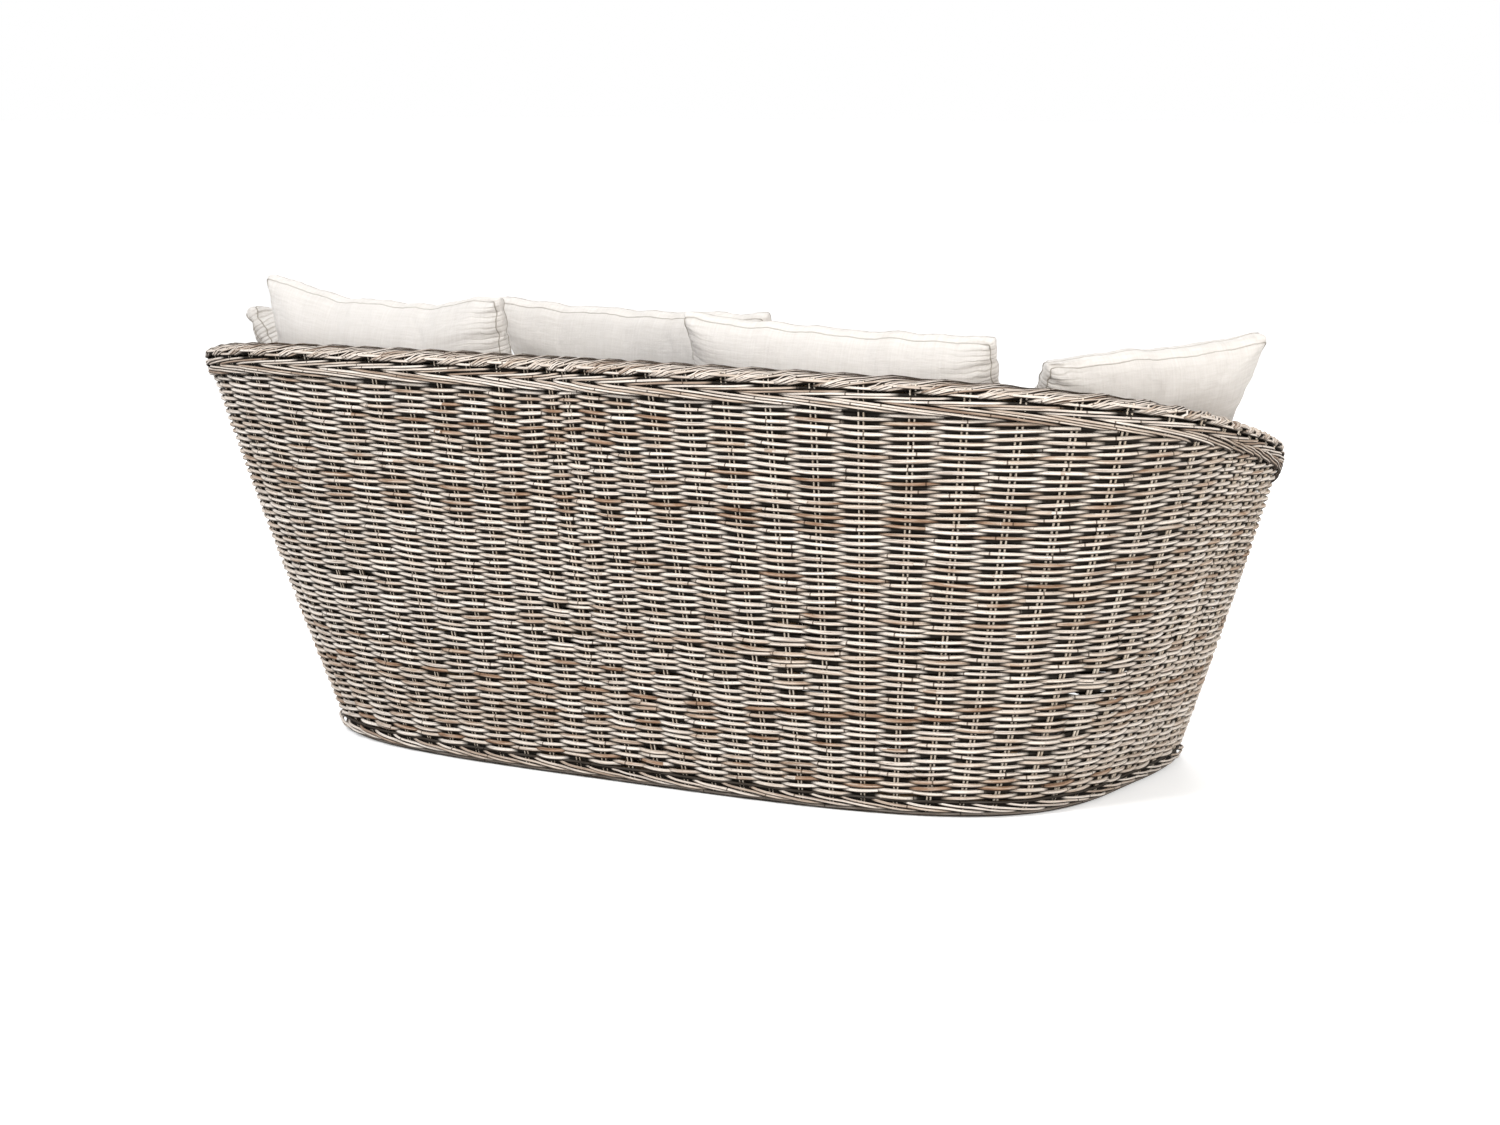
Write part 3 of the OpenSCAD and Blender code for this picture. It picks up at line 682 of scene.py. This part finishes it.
def panel(width, height, thickness, strip, m, n, side):
    """One panel of m by n cells. Its edges are a little hollow, and it bulges to its own side."""
    u, v = np.meshgrid(np.linspace(-1, 1, m + 1), np.linspace(-1, 1, n + 1), indexing="ij")
    crown = ((1 - u ** 4) * (1 - v ** 4)) ** 0.5
    x = u * (width / 2 - HOLLOW * (1 - v * v))
    y = v * (height / 2 - HOLLOW * (1 - u * u)) + height / 2
    z = side * (strip / 2 + (thickness - strip) / 2 * crown)
    return np.stack([x, y, z], -1).reshape(-1, 3)


def cushion_grid(width, height, thickness, strip):
    """Points and quads of the slim form, with the strip's two seams as lists of points."""
    m, n = int(round(width / CELL)), int(round(height / CELL))
    points = [panel(width, height, thickness, strip, m, n, side) for side in (-1, 1)]
    i, j = np.meshgrid(np.arange(m), np.arange(n), indexing="ij")
    a = (i * (n + 1) + j).ravel()
    cells = np.stack([a, a + n + 1, a + n + 2, a + 1], -1)
    quads = [cells[:, ::-1], cells + len(points[0])]
    edge = np.array([i * (n + 1) for i in range(m)] + [m * (n + 1) + j for j in range(n)]
                    + [i * (n + 1) + n for i in range(m, 0, -1)] + list(range(n, 0, -1)))
    seams = [edge, edge + len(points[0])]
    middle = np.array([0, height / 2, 0])
    steps = max(2, int(round(strip / CELL)))
    rows = [seams[0]]
    for s in range(1, steps):
        share = s / steps
        puff = 1 + 0.02 * math.sin(math.pi * share)
        ring = points[0][edge] * (1 - share) + points[1][edge] * share
        rows.append(np.arange(len(ring)) + sum(len(p) for p in points))
        points.append(middle + (ring - middle) * np.array([puff, puff, 1]))
    rows.append(seams[1])
    for a, b in zip(rows[:-1], rows[1:]):
        quads.append(np.stack([a, np.roll(a, -1), np.roll(b, -1), b], -1))
    return np.concatenate(points), np.concatenate(quads), seams


# %% [markdown]
# A cloth simulation then blows the slim form up. The seams are sewn a little shorter than the panels, the
# side seams most, which draws in the cushion's sides and gathers the cloth at its corners. The panels
# keep most of their outline, so only a third of the sideways move is used.

# %% Stuffing
FRAMES, PRESSURE, MOST = 18, 3.0, 30 * MM


def read_points(piece):
    co = np.zeros(len(piece.data.vertices) * 3, np.float32)
    piece.data.vertices.foreach_get("co", co)
    return co.reshape(-1, 3).astype(float)


def stuff(piece, seams):
    """Blows the form up as cloth, by no more than MOST, and says how far its points wanted to move."""
    before = read_points(piece)
    side_seam = np.abs(before[:, 0]).max() - 4 * MM
    sewn = piece.vertex_groups.new(name="sewn")
    for i in np.concatenate(seams):
        sewn.add([int(i)], 1.0 if abs(before[i, 0]) > side_seam else 0.12, "REPLACE")
    cloth = piece.modifiers.new("cloth", "CLOTH")
    cloth.collision_settings.use_collision = False
    cloth.point_cache.frame_start, cloth.point_cache.frame_end = 1, FRAMES
    s = cloth.settings
    s.quality = 5
    s.mass = 0.25
    s.tension_stiffness, s.compression_stiffness, s.shear_stiffness = 18, 18, 4
    s.bending_stiffness = 0.1
    s.vertex_group_shrink, s.shrink_min, s.shrink_max = "sewn", 0.0, 0.15
    s.air_damping = 2
    s.use_pressure = True
    s.uniform_pressure_force = PRESSURE
    s.effector_weights.gravity = 0
    scene = bpy.context.scene
    for f in range(1, FRAMES + 1):
        scene.frame_set(f)
    after = read_points(piece.evaluated_get(bpy.context.evaluated_depsgraph_get()))
    piece.modifiers.remove(cloth)
    scene.frame_set(1)
    move = (after - before) * np.array([0.3, 0.3, 1])
    length = np.linalg.norm(move, axis=1, keepdims=True)
    move *= np.minimum(1, MOST / np.maximum(length, 1e-9))
    piece.data.vertices.foreach_set("co", (before + move).ravel())
    piece.data.update()
    return float(length.max())


# %% [markdown]
# ## Ears, folds and cords
# Each cushion has been pushed into its own shape: its top corners are pulled up into ears or pressed
# down, folds run inwards from its side seams, and its top seam is wavy. A thin cord covers both seams.

# %% One cushion's details
FOLD_LENGTHS, FOLD_HEIGHT, FOLD_REACH = (0.019, 0.031, 0.047), 3.6 * MM, 34 * MM
WAVE_LENGTHS, WAVE_HEIGHT = (0.07, 0.11, 0.19), 1.1 * MM
CORD_RADIUS = 1.3 * MM


def raise_ears(co, width, height, ears):
    """Lifts the left corner, the whole top and the right corner, in millimetres."""
    left, whole, right = ears
    corner = smooth(np.abs(co[:, 0]) / (width / 2) * 1.5 - 0.5)
    co[:, 1] += smooth(co[:, 1] / height) * (whole + corner * np.where(co[:, 0] < 0, left, right)) * MM


def gathers(co, width, height, left, right, rng):
    """Folds at the side seams, of a strength for each side, and the wavy top seam.
    Says for each point how strongly the cloth is drawn in, for the fine creases in the material."""
    drawn = np.zeros(len(co))
    for sign, strength in ((-1, left), (1, right)):
        inward = width / 2 - sign * co[:, 0]
        spread = co[:, 1] + 0.3 * inward * (co[:, 1] / height - 0.5)
        inside = np.maximum(inward, 0)
        fade = np.exp(-inside / FOLD_REACH) * (1 - np.exp(-inside / (5 * MM)))
        fold = sum(np.sin(2 * np.pi * (spread / length + rng.random()) + 9 * inward)
                   for length in FOLD_LENGTHS) / 1.7
        co[:, 2] += np.sign(co[:, 2]) * strength * FOLD_HEIGHT * fade * fold
        drawn += strength * fade
    wave = sum(np.sin(2 * np.pi * (co[:, 0] / length + rng.random())) for length in WAVE_LENGTHS)
    co[:, 1] += smooth(co[:, 1] / height * 3 - 2) * wave * WAVE_HEIGHT
    return drawn


def seam_cord(co, seam, middle):
    """A closed cord along a seam, which sinks a little under it."""
    co[seam] += (middle - co[seam]) * 0.004
    ring = co[np.concatenate([seam, seam[:2]])]
    cord = Bundle(5)
    cord.strand(ring, unit(ring - middle), CORD_RADIUS, CORD_RADIUS, 0.5, 0)
    return cord.points[0], cord.faces[0]


# %% [markdown]
# ## Standing the cushions up
# Each cushion leans on the rim in its own way, with its lower edge on the seat cushion's crown. One
# function stuffs it, gives it its details and stands it in the place of its solid.

# %% One loose cushion
SEAT_SEAM = 383.3 * MM
STRIP = 28 * MM
HALF_LENGTH, HALF_DEPTH = 0.8143, 0.3617


def crown_at(share):
    """How high the seat's top is over its seam, at a share of the way from its middle to its edge."""
    return 16 * MM * (1 - share ** 4)


def stand(width, foot, share, yaw, lean, tilt):
    """Where the cushion stands. Its foot's place is in shares of the seat's half length and half depth."""
    rise = STRIP / 2 * math.sin(math.radians(lean)) \
        + width / 2 * math.sin(math.radians(abs(tilt))) * math.cos(math.radians(lean))
    height = SEAT_SEAM + crown_at(share) + 0.9 * MM + rise
    place = Vector((foot[0] * HALF_LENGTH, foot[1] * HALF_DEPTH, height))
    return Matrix.Translation(place) @ Matrix.Rotation(math.radians(yaw), 4, "Z") \
        @ Matrix.Rotation(math.radians(90 - lean), 4, "X") @ Matrix.Rotation(math.radians(tilt), 4, "Z")


def loose_cushion(place, size, foot, share, yaw, lean, tilt, seed, ears, shift, folds):
    name = place + "_linen_cushion"
    width, height, thickness = size
    middle = np.array([0, height / 2, 0])
    flat, quads, seams = cushion_grid(width, height, thickness * 0.7, STRIP * 0.9)
    uneven = np.random.default_rng(seed).normal(0, 0.4 * MM, flat.shape)
    slim = mesh_object(name + "_slim", flat + uneven, quads)
    moved = stuff(slim, seams)
    co = read_points(slim)
    bpy.data.objects.remove(slim)
    low, high = co.min(0), co.max(0)
    co = (co - (high + low) / 2) * np.array(size) / (high - low) + middle
    raise_ears(co, width, height, ears)
    drawn = gathers(co, width, height, *folds, np.random.default_rng(seed + 50))
    co[:, 0] += shift * MM
    points, faces, deep = [co], [quads], [np.zeros(len(co))]
    for seam in seams:
        cord_points, cord_faces = seam_cord(co, seam, middle)
        faces.append(cord_faces + sum(len(p) for p in points))
        points.append(cord_points)
        # Painted shade on the seam cords, darker along the side seams.
        at_side = np.abs(cord_points[:, 0] - shift * MM) > width / 2 - 12 * MM
        deep.append(np.where(at_side, 1.5, 0.8))
    cords = np.concatenate(points[1:])
    piece = mesh_object(name, np.concatenate(points), np.concatenate(faces))
    add_layer(piece, "across", np.append(flat[:, 0], cords[:, 0]))
    add_layer(piece, "along", np.append(flat[:, 1], cords[:, 1]))
    add_layer(piece, "deep", np.concatenate(deep))
    add_layer(piece, "drawn", np.append(drawn, np.zeros(len(cords))))
    piece.data.transform(stand(width, foot, share, yaw, lean, tilt))
    smoother = piece.modifiers.new("smoother", "SUBSURF")
    smoother.levels = smoother.render_levels = 1
    dress(piece, loose_linen, place + "_body", "loose_linen", place + "_cushion")
    box = read_points(piece)
    print(name, "moved", round(moved, 4), "box", box.min(0).round(3), box.max(0).round(3))


# %% [markdown]
# There is a small cushion at either end and three larger ones along the back. None stands quite like
# another: each has its own turn, lean backwards and tilt, and its own ears and folds. `share` says how
# near the seat's edge its foot is, from 0 in the middle to 1.

# %% The five loose cushions
loose_cushion("far_end", size=(0.385, 0.385, 0.125), foot=(0.853, -0.011), share=0.928, yaw=-90,
              lean=29.7, tilt=0.0, seed=1, ears=(0, -6, -34), shift=7, folds=(1.6, 0.8))
loose_cushion("far_back", size=(0.540, 0.388, 0.120), foot=(0.547, 0.728), share=0.930, yaw=-7.2,
              lean=13.3, tilt=1.2, seed=2, ears=(19, -3, 21), shift=-7, folds=(1.2, 0.5))
loose_cushion("middle_back", size=(0.552, 0.388, 0.120), foot=(0.008, 0.245), share=0.575, yaw=-4.1,
              lean=23.2, tilt=0.4, seed=3, ears=(2, 1, 2), shift=14, folds=(0.6, 0.6))
loose_cushion("near_back", size=(0.530, 0.388, 0.120), foot=(-0.507, 0.569), share=0.952, yaw=2.1,
              lean=22.7, tilt=2.2, seed=4, ears=(0, 0, 0), shift=9, folds=(1.5, 1.0))
loose_cushion("near_end", size=(0.385, 0.385, 0.125), foot=(-0.806, -0.079), share=0.785, yaw=59,
              lean=35.2, tilt=-2.5, seed=5, ears=(6, -3, -9), shift=0, folds=(0.6, 1.8))

# %% [markdown]
# ## The seat cushion
# One large boxed cushion fills the tub over the slats: a crowned top, upright sides and a corded seam
# round its upper and lower edges.

# %% The seat cushion
SEAT_FOOT, LOWER_CORD = 265.3 * MM, 267.5 * MM
SEAT_INSET, CORD_DEPTH, SEAT_CORD = 85 * MM, 87 * MM, 2.2 * MM
seat_places = np.arange(STAKES * 4) / 4
ends = on_wall(np.array([0.0, STAKES / 2]), SEAT_SEAM, SEAT_INSET)
seat_middle = ends.sum(0)[:2] / 2


def seat_ring(share, wall_z, depth, height):
    """A ring of points, a share of the way from the seat's middle out to the wall's line at wall_z."""
    edge = on_wall(seat_places, wall_z, depth)[:, :2]
    flat = seat_middle + (edge - seat_middle) * share
    return np.column_stack([flat, np.broadcast_to(height, len(flat))])


def seat_form():
    """The underside's rings, the upright side's and the crowned top's, with a cap in both middles."""
    n, edge = len(seat_places), SEAT_INSET + 3 * MM
    rings = [seat_ring(share, SEAT_FOOT, edge, SEAT_FOOT) for share in (0.02, 0.3, 0.6, 0.85, 0.97)]
    for rise, bulge in ((0.0, 3), (0.06, 0.5), (0.25, -1), (0.5, -2), (0.75, -1), (0.94, 0.5), (1.0, 3)):
        z = SEAT_FOOT + (SEAT_SEAM - SEAT_FOOT) * rise
        rings.append(seat_ring(1.0, z, SEAT_INSET + bulge * MM, z))
    for share in (0.985, 0.96, 0.92, 0.86, 0.78, 0.68, 0.56, 0.42, 0.26, 0.10, 0.01):
        uneven = 3 * MM * np.sin(seat_places * 2 * np.pi / 19 + share * 9) * share * (1 - share)
        rings.append(seat_ring(share, SEAT_SEAM, edge, SEAT_SEAM + crown_at(share) + uneven))
    i, j = np.meshgrid(np.arange(len(rings) - 1), np.arange(n), indexing="ij")
    a, b = i * n + j, i * n + (j + 1) % n
    sides = np.stack([a, b, b + n, a + n], -1).reshape(-1, 4)
    k = np.arange(n // 2 - 1)
    cap = np.stack([k, k + 1, n - 2 - k, n - 1 - k], -1)
    quads = np.concatenate([sides, cap + (len(rings) - 1) * n, cap[:, ::-1]])
    return np.concatenate(rings), quads


points, quads = seat_form()
deep = [np.zeros(len(points))]
around = np.linspace(0, STAKES, STAKES * 4 + 1)
for z in (LOWER_CORD, SEAT_SEAM):
    cord = Bundle(6)
    cord.strand(on_wall(around, z, CORD_DEPTH), outward(around, z), SEAT_CORD, SEAT_CORD, 0.5, 0)
    quads = np.concatenate([quads, cord.faces[0] + len(points)])
    points = np.concatenate([points, cord.points[0]])
    # Painted shade on the seat's seam cords.
    deep.append(np.full(len(cord.points[0]), 0.7))
seat = mesh_object("seat_linen_cushion", points, quads)
add_layer(seat, "across", points[:, 0] + points[:, 2])
add_layer(seat, "along", points[:, 1] + points[:, 2])
add_layer(seat, "deep", np.concatenate(deep))
dress(seat, seat_linen, "seat_body", "seat_linen", "seat_cushion")
print("seat cushion", len(quads), "quads")

# %% [markdown]
# ## Studio
# The light is soft and comes from all round, with one large lamp over the camera's left shoulder, a
# warmer and weaker one on its right, and one for the front, which the photograph doesn't show. The floor
# is pale and turns white for the camera, which keeps the contact shadow. Inside the foot's oval it stays
# as dark as it is, because one looks through the weave on to the shaded floor there.

# %% Floor
FLOOR_GLOW, GLOW_MARGIN, FLOOR_HALF = 0.42, 12 * MM, 45


def stage_floor():
    b = Bench("studio_floor")
    b.set(b.shader.inputs["Base Color"], (0.93, 0.93, 0.93))
    b.set(b.shader.inputs["Roughness"], 0.9)
    x, y = (b.node("ShaderNodeSeparateXYZ", {}, {0: b.where()}, out=axis) for axis in (0, 1))
    half_length, half_depth = FLOOR_LENGTH / 2 - GLOW_MARGIN, FLOOR_DEPTH / 2 - GLOW_MARGIN
    across = (x * (1 / half_length)).absolute().power(FLOOR_SQUARENESS)
    back = ((y + (FLOOR_FORWARD + float(middle_y))) * (1 / half_depth)).absolute().power(FLOOR_SQUARENESS)
    seen = b.node("ShaderNodeLightPath", out="Is Camera Ray") * (across + back).above(1)
    plain = Wire(b, b.shader.outputs[0])
    glow = b.node("ShaderNodeEmission", {}, {"Color": (1, 1, 1), "Strength": FLOOR_GLOW})
    glowing = b.node("ShaderNodeAddShader", {}, {0: plain, 1: glow})
    b.set(b.tree.nodes["Material Output"].inputs["Surface"],
          b.node("ShaderNodeMixShader", {}, {0: seen, 1: plain, 2: glowing}))
    return b.material


floor_mesh = bpy.data.meshes.new("floor")
floor_corners = ((-1, -1), (1, -1), (1, 1), (-1, 1))
floor_mesh.from_pydata([(x * FLOOR_HALF, y * FLOOR_HALF, 0) for x, y in floor_corners], [], [(0, 1, 2, 3)])
floor_mesh.materials.append(stage_floor())
floor_piece = bpy.data.objects.new("floor", floor_mesh)
bpy.context.scene.collection.objects.link(floor_piece)
print("floor", 2 * FLOOR_HALF, "m wide, with a glow of", FLOOR_GLOW, "for the camera")

# %% [markdown]
# The camera sees a pure white surrounding, and so would shiny and clear parts. Everything else is lit by
# a dimmer one, because a full white world would wash the cane's shadows out.

# %% World and lamps
WORLD_LIGHT = 0.66
world = bpy.data.worlds.new("studio")
bpy.context.scene.world = world
world.use_nodes = True
sky, links = world.node_tree.nodes, world.node_tree.links
dimmer, white = sky["Background"], sky.new("ShaderNodeBackground")
for background, strength in ((dimmer, WORLD_LIGHT), (white, 1.0)):
    background.inputs["Color"].default_value = (1, 1, 1, 1)
    background.inputs["Strength"].default_value = strength
rays, blend = sky.new("ShaderNodeLightPath"), sky.new("ShaderNodeMixShader")
either, any_ray = sky.new("ShaderNodeMath"), sky.new("ShaderNodeMath")
either.operation = any_ray.operation = "MAXIMUM"
for output, socket in ((rays.outputs["Is Camera Ray"], either.inputs[0]),
                       (rays.outputs["Is Glossy Ray"], either.inputs[1]),
                       (either.outputs[0], any_ray.inputs[0]),
                       (rays.outputs["Is Transmission Ray"], any_ray.inputs[1]),
                       (any_ray.outputs[0], blend.inputs[0]),
                       (dimmer.outputs[0], blend.inputs[1]),
                       (white.outputs[0], blend.inputs[2]),
                       (blend.outputs[0], sky["World Output"].inputs["Surface"])):
    links.new(output, socket)


def lamp(name, place, size, power, tint=(1, 1, 1)):
    """A round lamp that looks at the middle of the daybed."""
    light = bpy.data.lights.new(name, "AREA")
    light.shape, light.size, light.energy, light.color = "DISK", size, power, tint
    lamp_object = bpy.data.objects.new(name, light)
    bpy.context.scene.collection.objects.link(lamp_object)
    lamp_object.location = place
    lamp_object.rotation_euler = (Vector((0, 0, 0.4)) - Vector(place)).to_track_quat("-Z", "Y").to_euler()


lamp("key", (0.4, 4.4, 4.2), 1.6, 188)
lamp("fill", (-4.6, 2.4, 2.0), 2.2, 108, (1, 0.95, 0.88))
lamp("front", (1.5, -4.5, 3.2), 2.5, 110)
print("studio ready")
